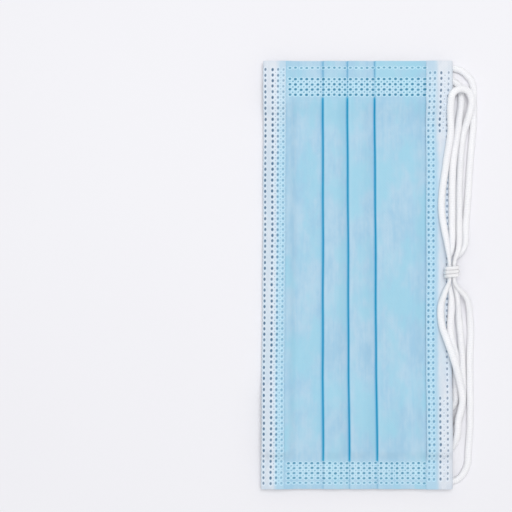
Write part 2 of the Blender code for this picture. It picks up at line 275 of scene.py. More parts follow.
LOWER_ROUTE = (
    (32.4, -84.6, 1.75, 0.80),
    (42.0, -83.6, 1.35, 1.00),
    (45.0, -79.4, 1.35, 1.00),
    (46.0, -71.0, 1.35, 1.00),
    (46.6, -33.0, 1.35, 1.00),
    (46.8, -20.0, 1.45, 1.00),
    (45.0, -10.0, 4.20, 0.90),
    (39.25, -2.1, 7.95, 0.57),
    (39.25, 1.4, 7.95, 0.57),
    (39.25, 4.9, 7.95, 0.57),
    (41.2, 10.5, 6.20, 0.85),
    (42.0, 20.0, 2.30, 1.00),
    (42.2, 36.0, 1.35, 1.00),
    (44.2, 59.0, 1.70, 1.00),
    (46.3, 66.8, 3.70, 1.00),
    (46.8, 71.4, 4.70, 1.00),
    (45.2, 74.8, 5.60, 1.00),
    (41.6, 75.7, 6.90, 1.00),
    (38.6, 73.6, 7.80, 1.00),
    (38.0, 69.8, 7.20, 1.00),
    (38.2, 58.5, 5.40, 1.00),
    (36.4, 46.0, 5.25, 1.00),
    (34.5, 27.0, 5.30, 1.00),
    (36.6, 11.5, 7.05, 0.85),
    (37.35, 4.9, 7.95, 0.57),
    (37.35, 1.4, 7.95, 0.57),
    (37.35, -2.1, 7.95, 0.57),
    (35.7, -6.8, 6.90, 0.85),
    (34.2, -13.0, 5.30, 1.00),
    (34.6, -20.5, 5.60, 1.00),
    (36.8, -27.5, 7.70, 1.00),
    (39.4, -35.0, 7.20, 1.00),
    (42.0, -44.0, 4.60, 1.00),
    (43.1, -51.0, 4.25, 1.00),
    (41.3, -60.0, 4.50, 1.00),
    (41.0, -65.5, 3.90, 1.00),
    (38.9, -71.5, 1.45, 1.00),
    (34.0, -77.0, 1.35, 1.00),
    (24.0, -80.0, 1.35, 1.00),
    (-28.4, -80.5, 1.75, 0.80),
)


# Shape of the folded cloth

def smooth(share):
    """A smooth step from 0 to 1."""
    share = np.clip(share, 0.0, 1.0)
    return share * share * (3 - 2 * share)


def ramp(value, start, end):
    """A smooth step from 0 at start to 1 at end, whichever of them is the greater."""
    return smooth((value - start) / (end - start))


def level(x0, x1, z, heading, step):
    """Flat cloth from x0 to x1: rows of x, z and heading."""
    count = max(1, math.ceil(abs(x1 - x0) / step))
    x = np.linspace(x0, x1, count + 1)
    return np.stack([x, np.full_like(x, z), np.full_like(x, heading)], axis=1)


def fold(x, low, radius, side, count):
    """Half a turn up from one level to the next round a centre at x. Side is 1 for a fold that faces +X."""
    turn = np.linspace(0.0, math.pi, count + 1)
    heading = turn if side > 0 else math.pi - turn
    height = low + radius - radius * np.cos(turn)
    return np.stack([x + side * radius * np.sin(turn), height, heading], axis=1)


def slope(x0, z0, x1, z1, step):
    """A smooth step of the cloth from one level to another, toward +X."""
    share = np.linspace(0.0, 1.0, math.ceil((x1 - x0) / step) + 1)
    grade = (z1 - z0) / (x1 - x0) * 6 * share * (1 - share)
    return np.stack([x0 + (x1 - x0) * share, z0 + (z1 - z0) * smooth(share), np.arctan(grade)], axis=1)


def join(parts):
    """One path from parts that meet, without the doubled rows."""
    rows = [parts[0][0]]
    for part in parts:
        for row in part:
            if np.hypot(*(row[:2] - rows[-1][:2])) > 0.02 * MM:
                rows.append(row)
    return np.array(rows)


def panel_path(step=0.46 * MM, hidden=1.5 * MM):
    """The middle of the panel's wall across the mask, from the chin edge to the nose edge."""
    radius = PITCH / 2
    edge = radius + CLOTH / 2
    chin_slope = -HALF_WIDTH + CHIN_BAND + CHIN_SLOPE_GAP
    x, z = chin_slope + CHIN_SLOPE_LENGTH, LEVEL_LOW
    parts = [
        level(-HALF_WIDTH + CHIN_MARGIN, chin_slope, LEVEL_MIDDLE, 0.0, step),
        slope(chin_slope, LEVEL_MIDDLE, x, z, step),
    ]
    folds = [share * 2 * HALF_WIDTH for share in PLEAT_FOLDS]
    landings = [(place - PLEAT_CLEARANCE, LEVEL_LOW) for place in folds[1:]]
    landings.append((NOSE_SLOPE_END * 2 * HALF_WIDTH, LEVEL_MIDDLE))
    for place, (landing, height) in zip(folds, landings):
        inner = place + PLEAT_TUCK - edge
        parts += [
            level(x, place - LINE_ZONE, z, 0.0, step),
            level(place - LINE_ZONE, place, z, 0.0, LINE_STEP),
            level(place, inner, z, 0.0, step),
            fold(inner, LEVEL_LOW, radius, side=1, count=7),
            level(inner, place + edge, LEVEL_MIDDLE, math.pi, hidden),
            fold(place + edge, LEVEL_MIDDLE, radius, side=-1, count=14),
            level(place + edge, inner, LEVEL_HIGH, 0.0, step),
            slope(inner, LEVEL_HIGH, landing, height, step / 2),
        ]
        x, z = landing, height
    parts.append(level(x, HALF_WIDTH - NOSE_MARGIN, LEVEL_MIDDLE, 0.0, step))
    return join([part for part in parts if len(part) > 1])


def pleat_shading(path):
    """How far each row of the panel's path lies in the deep line under a fold edge, partly the cloth lying
    double and partly painted shade, and in the painted highlight on the fold's crest.

    The ramps' places are millimetres past the fold edge, and degrees that the cloth is turned up.
    """
    x, z, heading = path.T
    turned = np.degrees(heading)
    line = np.zeros(len(x))
    crest_highlight = np.zeros(len(x))
    for share in PLEAT_FOLDS:
        past = (x - share * 2 * HALF_WIDTH) / MM
        # Painted shade on the lower layer in front of each fold edge and on the fold's turned front, partly
        # double cloth
        under = np.clip((past + 1.4) / 1.3, 0.0, 1.0) ** 1.9 * ramp(past, 4.0, 3.0)
        line = np.maximum(line, under * (z < LEVEL_LOW + 0.5 * MM))
        on_fold = ramp(past, -0.5, -0.3)
        front = on_fold * ramp(past, 2.0, 1.7) * ramp(turned, 20, 66)
        line = np.maximum(line, front * (z > LEVEL_LOW + 0.9 * PITCH))
        # Painted highlight on the top layer just past each fold edge
        top = on_fold * ramp(past, 1.9, 1.0) * ramp(turned, 30, 6)
        crest_highlight = np.maximum(crest_highlight, top * (z > LEVEL_HIGH - 0.6 * MM))
    return line, crest_highlight


def band_path(side, width, step=0.4 * MM):
    """The middle of a binding's wall: in along the bottom, round the edge and back along the top."""
    centre = side * (HALF_WIDTH - PITCH - CLOTH / 2)
    inner_end = side * (HALF_WIDTH - width)
    out, back = (0.0, math.pi) if side > 0 else (math.pi, 0.0)
    return join([
        level(inner_end, centre, LEVEL_LOW, out, step),
        fold(centre, LEVEL_LOW, PITCH, side, count=12),
        level(centre, inner_end, LEVEL_HIGH, back, step),
    ])


def uneven(across, along, salt):
    """A number from -1 to 1 that differs from dot to dot and stays the same on each run."""
    mixed = np.sin(12.9898 * across + 78.233 * along + 37.719 * salt) * 43758.5453
    return 2 * (mixed - np.floor(mixed)) - 1


def dot_field(x, y):
    """1 at the centre of a weld dot, one half on its rim and 0 a little outside; and the dot's darkness."""
    field = np.zeros(np.broadcast(x, y).shape)
    ink = np.zeros_like(field)
    x = x - np.where(y > 0, *NOSE_BOW) * ramp(np.abs(y), *BOW_ALONG) * ramp(x, *BOW_ACROSS)
    for salt, (places_x, places_y, half_x, half_y, strength, dark) in enumerate(DOT_GRIDS):
        x0, pitch_x, count_x = places_x
        y0, pitch_y, count_y = places_y
        across = np.clip(np.round((x / MM - x0) / pitch_x), 0, count_x - 1)
        along = np.clip(np.round((y / MM - y0) / pitch_y), 0, count_y - 1)
        right = x0 + across * pitch_x + DOT_SCATTER[0] * uneven(across, along, salt + 0.3)
        ahead = y0 + along * pitch_y + DOT_SCATTER[1] * uneven(across, along, salt + 0.6)
        far = np.hypot((x / MM - right) / half_x, (y / MM - ahead) / half_y)
        odd = uneven(across, along, salt)
        here = strength * (1 + DOT_STRENGTHS * odd) * np.clip(1 - far / 2, 0, 1)
        ink = np.where(here > field, dark * (1 + DOT_INKS * odd), ink)
        field = np.maximum(field, here)
    return field, ink


def height_over_loops(y):
    """How far the mask is raised where its ends lie over the loop legs."""
    start, end = (np.where(y > 0, upper, lower) for upper, lower in zip(UPPER_RISE, LOWER_RISE))
    return LIFT * ramp(np.abs(y) / HALF_LENGTH, start, end)


def share_of_height(x, y):
    """The share of its modelled height that the stack keeps at a place, or more than 1 over the wire."""
    seal = np.where(y > 0, *SEAL_START)
    pressed = 1 - SEAL_PRESS * ramp(np.abs(y), seal, seal + SEAL_RUN)
    pressed = pressed * (1 - PLEAT_PRESS * ramp(np.abs(x), *PLEAT_ZONE))
    dented = 1 - DOT_DENT * ramp(dot_field(x, y)[0], 0.25, 0.85)
    over_wire = ramp(np.abs(x - (WIRE_LOW.x + WIRE_HIGH.x) / 2), *WIRE_ASIDE)
    over_wire = over_wire * ramp(y, WIRE_LOW.y, WIRE_LOW.y + WIRE_ENDS)
    over_wire = over_wire * ramp(y, WIRE_HIGH.y, WIRE_HIGH.y - WIRE_ENDS)
    return pressed * dented * (1 + WIRE_RIDGE * over_wire)


def swell_and_sway(x, y):
    """How far the uneven cloth stands up at a place, and lies aside."""
    height, across, along = SWELL
    swell = height * (1 + np.sin(y / along + 1.3) * np.sin(x / across + 0.4))
    aside, along = SLOW_SWAY
    sway = aside * np.sin(y / along + 0.7)
    aside, across, along = QUICK_SWAY
    return swell, sway + aside * np.sin(y / along + x / across)


def settle(x, y, z):
    """Where a point of the flat stack comes to lie in the real, slightly uneven mask."""
    places, shift, lean = np.transpose(LEAN)
    aside = np.interp(x / MM, places, shift) + np.interp(x / MM, places, lean) * y / LEAN_RUN
    swell, sway = swell_and_sway(x, y)
    height = height_over_loops(y) + swell + z * share_of_height(x, y)
    return x + sway + aside * MM, y + 0 * x, height


def lines_along(steps, end_zone):
    """Places along the mask where the sections are set, at one step inside and another in the end zones."""
    step, end_step = steps
    middle = HALF_LENGTH - end_zone
    inside = np.linspace(-middle, middle, math.ceil(2 * middle / step) + 1)
    ends = np.linspace(middle, HALF_LENGTH, math.ceil(end_zone / end_step) + 1)[1:]
    return np.concatenate([-ends[::-1], inside, ends])


# Meshes

def finish_mesh(name, points, faces, material, sharp_angle=math.radians(55)):
    mesh = bpy.data.meshes.new(name)
    mesh.from_pydata(points.reshape(-1, 3).tolist(), [], faces)
    shape = bmesh.new()
    shape.from_mesh(mesh)
    bmesh.ops.recalc_face_normals(shape, faces=shape.faces)
    shape.to_mesh(mesh)
    shape.free()
    mesh.shade_smooth()
    mesh.set_sharp_from_angle(angle=sharp_angle)
    mesh.materials.append(material)
    added = bpy.data.objects.new(name, mesh)
    bpy.context.scene.collection.objects.link(added)
    return added


def set_uv(piece, uv):
    """A UV map from one value per vertex, in metres."""
    mesh = piece.data
    corner = np.empty(len(mesh.loops), np.int32)
    mesh.loops.foreach_get("vertex_index", corner)
    layer = mesh.uv_layers.new(name="UVMap")
    layer.data.foreach_set("uv", np.ascontiguousarray(uv.reshape(-1, 2)[corner], np.float32).ravel())


def set_values(piece, name, values):
    """A named value on each vertex, for the material to read."""
    attribute = piece.data.attributes.new(name, "FLOAT", "POINT")
    attribute.data.foreach_set("value", np.ascontiguousarray(values, np.float32).ravel())


def quads(rows, count):
    """Faces between neighbouring rings of a swept shape."""
    row = np.arange(rows - 1)[:, None] * count
    i = np.arange(count)[None, :]
    j = (i + 1) % count
    return np.stack([row + i, row + j, row + count + j, row + count + i], axis=-1).reshape(-1, 4).tolist()


def sweep_cloth(name, path, offset, thickness, lines, material, marks):
    """A thin closed ply that follows the path, swept along Y and settled."""
    x, z, heading = path.T
    count = len(path)
    plump = np.ones(len(lines))
    plump[[0, -1]] = CUT_END
    sides = []
    for side in (1, -1):
        out = offset + side * thickness / 2 * plump[:, None]
        sides.append((x - out * np.sin(heading), z + out * np.cos(heading)))
    flat_x = np.concatenate([sides[0][0], sides[1][0][:, ::-1]], axis=1)
    flat_z = np.concatenate([sides[0][1], sides[1][1][:, ::-1]], axis=1)
    y = np.repeat(lines[:, None], 2 * count, axis=1)
    faces = quads(len(lines), 2 * count)
    last = (len(lines) - 1) * 2 * count
    for i in range(count - 1):
        cap = [i, i + 1, 2 * count - 2 - i, 2 * count - 1 - i]
        faces.append(cap)
        faces.append([last + k for k in reversed(cap)])
    piece = finish_mesh(name, np.stack(settle(flat_x, y, flat_z), axis=-1), faces, material)
    run = np.concatenate([[0.0], np.cumsum(np.hypot(np.diff(x), np.diff(z)))])
    around = np.concatenate([run, run[::-1]])
    set_uv(piece, np.stack([np.broadcast_to(around, y.shape), y], axis=-1))
    field, ink = dot_field(flat_x, y)
    set_values(piece, "weld", field)
    set_values(piece, "ink", ink)
    for mark, values in marks.items():
        both_sides = np.concatenate([values, values[..., ::-1]], axis=-1)
        set_values(piece, mark, np.broadcast_to(both_sides, y.shape))
    return piece, run[-1]


def smooth_curve(route, step):
    """Points close together on a smooth curve through a route's points, in metres, with the thickness."""
    rows = np.array(route, float) * (MM, MM, MM, 1.0)
    gaps = np.linalg.norm(np.diff(rows[:, :3], axis=0), axis=1)
    slopes = np.diff(rows, axis=0) / gaps[:, None]
    tangents = np.empty_like(rows)
    tangents[0] = slopes[0]
    tangents[-1] = slopes[-1]
    before = gaps[:-1, None]
    after = gaps[1:, None]
    tangents[1:-1] = (slopes[:-1] * after + slopes[1:] * before) / (before + after)
    curve = []
    for i, gap in enumerate(gaps):
        count = max(2, round(gap / step))
        for t in np.arange(count) / count:
            start = (1 + 2 * t) * (1 - t) ** 2
            end = t * t * (3 - 2 * t)
            leave = gap * t * (1 - t) ** 2
            arrive = gap * t * t * (t - 1)
            point = start * rows[i] + end * rows[i + 1] + leave * tangents[i] + arrive * tangents[i + 1]
            curve.append(point)
    curve = np.array(curve + [rows[-1]])
    curve[:, 3] = np.minimum(curve[:, 3], 1.0)
    curve[:, 2] = np.maximum(curve[:, 2], curve[:, 3] * ELASTIC / 2)
    return curve


def sweep_tube(name, line, half_wide, half_deep, material, up=(0.0, 0.0, 1.0)):
    """A closed tube round a line, as far out as half_wide to its sides and as half_deep along up."""
    ahead = np.gradient(line, axis=0)
    ahead /= np.linalg.norm(ahead, axis=1)[:, None]
    side = np.cross(ahead, up)
    side /= np.linalg.norm(side, axis=1)[:, None]
    up = np.cross(side, ahead)
    angle = 2 * math.pi * np.arange(CORD_SIDES) / CORD_SIDES
    wide = np.cos(angle)[None, :, None] * side[:, None, :] * half_wide[:, None, None]
    deep = np.sin(angle)[None, :, None] * up[:, None, :] * half_deep[:, None, None]
    faces = quads(len(line), CORD_SIDES)
    faces.append(list(range(CORD_SIDES)))
    faces.append([(len(line) - 1) * CORD_SIDES + k for k in reversed(range(CORD_SIDES))])
    piece = finish_mesh(name, line[:, None, :] + wide + deep, faces, material)
    run = np.concatenate([[0.0], np.cumsum(np.linalg.norm(np.diff(line, axis=0), axis=1))])
    around = np.abs(2 * np.arange(CORD_SIDES) / CORD_SIDES - 1)
    uv = np.stack(np.broadcast_arrays(around[None, :] * math.pi * ELASTIC / 2, run[:, None]), axis=-1)
    set_uv(piece, uv)
    return piece


# Materials

def display(red, green, blue):
    """A display colour, from 0 to 255, as a scene-linear colour."""
    shares = [c / 255 for c in (red, green, blue)]
    return (*[s / 12.92 if s <= 0.04045 else ((s + 0.055) / 1.055) ** 2.4 for s in shares], 1.0)


def add_node(tree, kind, values=None, **settings):
    """A node with its settings, and with each input set or linked."""
    made = tree.nodes.new(kind)
    for name, value in settings.items():
        setattr(made, name, value)
    for socket, value in (values or {}).items():
        if isinstance(value, bpy.types.NodeSocket):
            tree.links.new(value, made.inputs[socket])
        else:
            made.inputs[socket].default_value = value
    return made


def stretch(tree, source, scale, turn=0.0):
    """The source coordinates, turned about Z and then scaled."""
    mapped = add_node(tree, "ShaderNodeMapping", {"Vector": source, "Rotation": (0, 0, turn)})
    scaled = add_node(tree, "ShaderNodeVectorMath", {0: mapped.outputs[0], 1: scale}, operation="MULTIPLY")
    return scaled.outputs[0]


def noise(tree, source, scale, detail=2.0, roughness=0.5, distortion=0.0):
    """Noise from 0 to 1, its features about 1 over the scale in size."""
    made = add_node(tree, "ShaderNodeTexNoise", {
        "Vector": stretch(tree, source, scale),
        "Scale": 1.0,
        "Detail": detail,
        "Roughness": roughness,
        "Distortion": distortion,
    })
    return made.outputs["Fac"]


def moved(tree, source, by):
    """The source coordinates, moved."""
    return add_node(tree, "ShaderNodeVectorMath", {0: source, 1: by}, operation="ADD").outputs[0]


def remap(tree, value, low, high, to_low=0.0, to_high=1.0, steps="SMOOTHSTEP"):
    made = add_node(tree, "ShaderNodeMapRange", {
        "Value": value, "From Min": low, "From Max": high, "To Min": to_low, "To Max": to_high,
    }, interpolation_type=steps)
    return made.outputs["Result"]


def blend(tree, share, first, second):
    made = add_node(tree, "ShaderNodeMix", {0: share, 6: first, 7: second}, data_type="RGBA")
    return made.outputs[2]


def arithmetic(tree, kind, first, second=0.0, third=0.0):
    made = add_node(tree, "ShaderNodeMath", {0: first, 1: second, 2: third}, operation=kind)
    return made.outputs[0]


def new_group(name, inputs, outputs):
    """A node group with named sockets: each input is a name, a socket type and a value."""
    tree = bpy.data.node_groups.new(name, "ShaderNodeTree")
    for label, kind, value in inputs:
        socket = tree.interface.new_socket(name=label, in_out="INPUT", socket_type=kind)
        if value is not None:
            socket.default_value = value
    for label, kind in outputs:
        tree.interface.new_socket(name=label, in_out="OUTPUT", socket_type=kind)
    return tree, tree.nodes.new("NodeGroupInput").outputs, tree.nodes.new("NodeGroupOutput").inputs


def spunbond_group():
    """Spunbonded cloth: clouds of thick and thin web, streaks and fibres along it, fine bond points."""
    tree, given, result = new_group(
        "spunbond",
        [
            ("Vector", "NodeSocketVector", None),
            ("Thin Colour", "NodeSocketColor", display(160, 203, 233)),
            ("Thick Colour", "NodeSocketColor", display(180, 214, 236)),
            ("Patch Colour", "NodeSocketColor", display(162, 217, 238)),
            ("Bond Colour", "NodeSocketColor", display(140, 190, 220)),
        ],
        [("Colour", "NodeSocketColor"), ("Height", "NodeSocketFloat")],
    )
    place = given["Vector"]
    wide = noise(tree, place, (95, 38, 0), detail=2.0, roughness=0.55)
    near = noise(tree, place, (330, 170, 0), detail=4.0, roughness=0.68)
    patches = noise(tree, moved(tree, place, (3.7, 1.9, 0)), (80, 42, 0), detail=3.0, roughness=0.6)
    streaks = noise(tree, place, (950, 70, 0), detail=2.0, roughness=0.6)
    fibres = noise(tree, place, (4200, 520, 0), detail=3.0, roughness=0.7, distortion=1.2)
    crossing = noise(tree, place, (900, 3600, 0), detail=2.0, roughness=0.7, distortion=1.5)
    clouds = arithmetic(tree, "MULTIPLY_ADD", near, 0.52, arithmetic(tree, "MULTIPLY", wide, 0.62))
    web = arithmetic(tree, "MULTIPLY_ADD", streaks, 0.30, clouds)
    thick = remap(tree, web, 0.54, 0.90)
    body = blend(tree, thick, given["Thin Colour"], given["Thick Colour"])
    body = blend(tree, remap(tree, patches, 0.42, 0.64, 0.0, 0.8), body, given["Patch Colour"])
    grid = add_node(tree, "ShaderNodeTexVoronoi", {
        "Vector": stretch(tree, place, (1250, 1250, 0), math.radians(45)), "Scale": 1.0, "Randomness": 0.06,
    }, feature="F1")
    bond = remap(tree, grid.outputs["Distance"], 0.20, 0.34, 1.0, 0.0)
    hair = arithmetic(tree, "MULTIPLY", remap(tree, fibres, 0.35, 0.75), 0.10)
    fine = blend(tree, arithmetic(tree, "MULTIPLY", bond, 0.13), body, given["Bond Colour"])
    tree.links.new(blend(tree, hair, fine, given["Bond Colour"]), result["Colour"])
    relief = arithmetic(tree, "MULTIPLY_ADD", bond, -0.35, arithmetic(tree, "MULTIPLY", fibres, 0.45))
    tree.links.new(arithmetic(tree, "MULTIPLY_ADD", crossing, 0.25, relief), result["Height"])
    return tree


def weld_group():
    """From the field round a weld dot, its fused middle, the puffed rim round it and its depth."""
    tree, given, result = new_group(
        "weld_dot",
        [("Field", "NodeSocketFloat", 0.0)],
        [("Dot", "NodeSocketFloat"), ("Rim", "NodeSocketFloat"), ("Height", "NodeSocketFloat")],
    )
    field = given["Field"]
    tree.links.new(remap(tree, field, 0.40, 0.66), result["Dot"])
    rise = remap(tree, field, 0.05, 0.25)
    drop = remap(tree, field, 0.28, 0.46, 1.0, 0.0)
    tree.links.new(arithmetic(tree, "MULTIPLY", rise, drop), result["Rim"])
    tree.links.new(remap(tree, field, 0.20, 0.75, 1.0, 0.0), result["Height"])
    return tree


def knit_group():
    """Round knitted elastic: fine stitches in columns along it, slightly uneven."""
    tree, given, result = new_group(
        "knit_elastic",
        [
            ("Vector", "NodeSocketVector", None),
            ("Colour", "NodeSocketColor", display(246, 246, 250)),
            ("Shade", "NodeSocketColor", display(222, 224, 232)),
        ],
        [("Colour", "NodeSocketColor"), ("Height", "NodeSocketFloat")],
    )
    place = given["Vector"]
    stitches = add_node(tree, "ShaderNodeTexVoronoi", {
        "Vector": stretch(tree, place, (2300, 1500, 0)), "Scale": 1.0, "Randomness": 0.25,
    }, feature="F1")
    loop = remap(tree, stitches.outputs["Distance"], 0.15, 0.62, 1.0, 0.0)
    mottle = noise(tree, place, (300, 130, 0), detail=2.0)
    fuzz = noise(tree, place, (6000, 2600, 0), detail=2.0)
    light = arithmetic(tree, "MULTIPLY_ADD", loop, 0.55, arithmetic(tree, "MULTIPLY", mottle, 0.55))
    tone = blend(tree, remap(tree, light, 0.15, 0.8), given["Shade"], given["Colour"])
    tree.links.new(tone, result["Colour"])
    tree.links.new(arithmetic(tree, "MULTIPLY_ADD", fuzz, 0.3, loop), result["Height"])
    return tree


SPUNBOND = spunbond_group()
WELD_DOT = weld_group()
KNIT = knit_group()


def new_material(name, roughness, sheen=0.0):
    material = bpy.data.materials.new(name)
    material.use_nodes = True
    tree = material.node_tree
    shader = tree.nodes["Principled BSDF"]
    shader.inputs["Roughness"].default_value = roughness
    shader.inputs["Specular IOR Level"].default_value = 0.25
    shader.inputs["Sheen Weight"].default_value = sheen
    shader.inputs["Sheen Roughness"].default_value = 0.5
    return material, tree, shader


def uv_place(tree):
    return add_node(tree, "ShaderNodeUVMap", uv_map="UVMap").outputs["UV"]


def value_of(tree, name):
    return add_node(tree, "ShaderNodeAttribute", attribute_name=name).outputs["Fac"]


def add_bump(tree, height, distance, strength, below=None):
    values = {"Height": height, "Distance": distance, "Strength": strength}
    if below is not None:
        values["Normal"] = below
    return add_node(tree, "ShaderNodeBump", values).outputs["Normal"]


def cloth_material(name, thin, thick, patch, bond, roughness=0.85):
    """Spunbonded cloth. Returns it, its tree, its colour and a way to paint the weld dots over a colour."""
    material, tree, shader = new_material(name, roughness, sheen=0.12)
    cloth = add_node(tree, "ShaderNodeGroup", node_tree=SPUNBOND)
    tree.links.new(uv_place(tree), cloth.inputs["Vector"])
    for socket, colour in (("Thin", thin), ("Thick", thick), ("Patch", patch), ("Bond", bond)):
        cloth.inputs[socket + " Colour"].default_value = display(*colour)
    weld = add_node(tree, "ShaderNodeGroup", {"Field": value_of(tree, "weld")}, node_tree=WELD_DOT)
    web = add_bump(tree, cloth.outputs["Height"], 0.00012, 0.5)
    tree.links.new(add_bump(tree, weld.outputs["Height"], 0.00020, 0.7, web), shader.inputs["Normal"])
    gloss = remap(tree, weld.outputs["Dot"], 0.0, 1.0, roughness, 0.5, steps="LINEAR")
    tree.links.new(gloss, shader.inputs["Roughness"])

    def paint(under, dot, rim, share):
        puffed = blend(tree, arithmetic(tree, "MULTIPLY", weld.outputs["Rim"], share), under, rim)
        tree.links.new(blend(tree, weld.outputs["Dot"], puffed, dot), shader.inputs["Base Color"])

    return material, tree, cloth.outputs["Colour"], paint


def inked(tree, pale, dark):
    """The colour of a weld dot, by how dark it is."""
    return blend(tree, value_of(tree, "ink"), display(*pale), display(*dark))


def blue_cloth():
    """The outer ply: blue, with a deep line at each fold, partly the cloth lying double and partly painted
    shade, and a painted highlight on the fold's crest.
    """
    material, tree, colour, paint = cloth_material(
        "blue_outer_cloth", (161, 201, 225), (182, 212, 230), (159, 210, 229), (138, 185, 212)
    )
    # Painted highlight: the fold's crest is blended toward a paler blue
    crest_highlight = arithmetic(tree, "MULTIPLY", value_of(tree, "crest_highlight"), 0.15)
    pale = blend(tree, crest_highlight, colour, display(188, 222, 241))
    # Painted shade: the deep teal line in front of each fold edge, partly the cloth lying double
    shade = noise(tree, uv_place(tree), (300, 45, 0), detail=2.0)
    deepest = blend(tree, remap(tree, shade, 0.35, 0.65), display(0, 160, 208), display(8, 164, 206))
    deep = blend(tree, value_of(tree, "pleat"), pale, deepest)
    paint(deep, inked(tree, (146, 200, 222), (56, 134, 168)), display(206, 240, 253), 0.7)
    return material


def white_cloth():
    """The inner ply, white."""
    material, tree, colour, paint = cloth_material(
        "white_inner_cloth", (222, 228, 238), (240, 243, 248), (228, 236, 243), (212, 220, 232)
    )
    paint(colour, inked(tree, (206, 216, 228), (150, 170, 192)), display(248, 250, 253), 0.5)
    return material


def binding_cloth():
    """The white binding, with the blue of the panel showing through where it lies behind."""
    material, tree, colour, paint = cloth_material(
        "white_binding_cloth", (206, 215, 227), (225, 230, 236), (208, 222, 232), (192, 203, 216)
    )
    ragged = arithmetic(tree, "SUBTRACT", noise(tree, uv_place(tree), (420, 210, 0), detail=3.0), 0.5)
    edge = arithmetic(tree, "MULTIPLY_ADD", ragged, 0.4, value_of(tree, "behind"))
    behind = remap(tree, edge, 0.05, 0.95)
    tinted = blend(tree, arithmetic(tree, "MULTIPLY", behind, 0.84), colour, display(168, 208, 230))
    grey = inked(tree, (190, 203, 218), (82, 114, 144))
    teal = inked(tree, (158, 204, 226), (84, 144, 178))
    rim = blend(tree, behind, display(228, 239, 250), display(196, 234, 250))
    paint(tinted, blend(tree, behind, grey, teal), rim, 0.8)
    return material


def elastic_material(name, light, shade):
    """Knitted elastic, white and slightly see-through, so that its shaded sides stay pale."""
    material, tree, shader = new_material(name, 0.7, sheen=0.25)
    shader.inputs["Subsurface Weight"].default_value = 0.7
    shader.inputs["Subsurface Radius"].default_value = (1.0, 1.0, 1.0)
    shader.inputs["Subsurface Scale"].default_value = 0.0020
    knit = add_node(tree, "ShaderNodeGroup", node_tree=KNIT)
    tree.links.new(uv_place(tree), knit.inputs["Vector"])
    knit.inputs["Colour"].default_value = display(*light)
    knit.inputs["Shade"].default_value = display(*shade)
    tree.links.new(knit.outputs["Colour"], shader.inputs["Base Color"])
    tree.links.new(add_bump(tree, knit.outputs["Height"], 0.00012, 0.5), shader.inputs["Normal"])
    return material


def object_place(tree):
    return add_node(tree, "ShaderNodeTexCoord").outputs["Object"]


def wire_material():
    """Plastic coating of the nose wire, with drawing lines along it."""
    material, tree, shader = new_material("wire_coating", 0.42)
    place = object_place(tree)
    lines = noise(tree, place, (5200, 90, 5200), detail=2.0)
    clouds = noise(tree, place, (300, 120, 300), detail=2.0)
    tone = blend(tree, remap(tree, clouds, 0.3, 0.7), display(226, 229, 233), display(240, 242, 245))
    tree.links.new(tone, shader.inputs["Base Color"])
    tree.links.new(remap(tree, lines, 0.3, 0.7, 0.34, 0.5), shader.inputs["Roughness"])
    tree.links.new(add_bump(tree, lines, 0.00006, 0.5), shader.inputs["Normal"])
    return material


# Pieces

def make_panel():
    path = panel_path()
    line, crest_highlight = pleat_shading(path)
    lines = lines_along(PANEL_STEPS, PANEL_END_ZONE)
    # The pleats' deep lines, partly painted shade, fade toward the mask's ends; the crest values are a
    # painted highlight
    line_end = np.where(lines > 0, *LINE_END)
    fade = ramp(np.abs(lines), line_end, line_end + LINE_END_RUN) * np.where(lines > 0, *LINE_FADE)
    marks = {"pleat": line * (1 - fade[:, None]), "crest_highlight": crest_highlight}
    outer, width = sweep_cloth("outer_ply", path, PLY_OFFSET, PLY, lines, blue_cloth(), marks)
    inner, _ = sweep_cloth("inner_ply", path, -PLY_OFFSET, PLY, lines, white_cloth(), {})
    for ply, slot in ((outer, "blue_spunbond"), (inner, "white_spunbond")):
        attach(ply, "root")
        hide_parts("pleated_panel")


def make_band(name, side, width, show, material):
    """A binding. Show is where the panel's blue shows through it, over what width, and its share outside."""
    path = band_path(side, width)
    x, z, _ = path.T
    start, run, least = show
    inside = least + (1 - least) * ramp(side * x, start, start - run)
    on_top = np.where(z > LEVEL_MIDDLE, 1.0, SHOW_BELOW)
    lines = lines_along(BAND_STEPS, BAND_END_ZONE)
    less = 1 - SHOW_LESS * ramp(lines, *SHOW_LESS_ZONE)
    marks = {"behind": inside * on_top * less[:, None]}
    from_edge = side * x - (HALF_WIDTH - width)
    thickness = BINDING * (CUT_EDGE + (1 - CUT_EDGE) * smooth(from_edge / CUT_EDGE_RUN))
    offset = -BINDING_OFFSET - (BINDING - thickness) / 2
    band, flat = sweep_cloth(name + "_cloth", path, offset, thickness, lines, material, marks)
    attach(band, "root")
    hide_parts(name)


def make_loop(name, route, material):
    curve = smooth_curve(route, RING_STEP)
    half = curve[:, 3] * ELASTIC / 2
    loose = ramp(curve[:, 3], LOOSE_FROM, 1.0)
    wide = half * (1 + LOOSE_WIDER * loose)
    deep = half * (1 - LOOSE_FLATTER * loose)
    curve[:, 2] -= half - deep
    cord = sweep_tube(name + "_cord", curve[:, :3], wide, deep, material)
    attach(cord, "root")
    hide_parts(name)


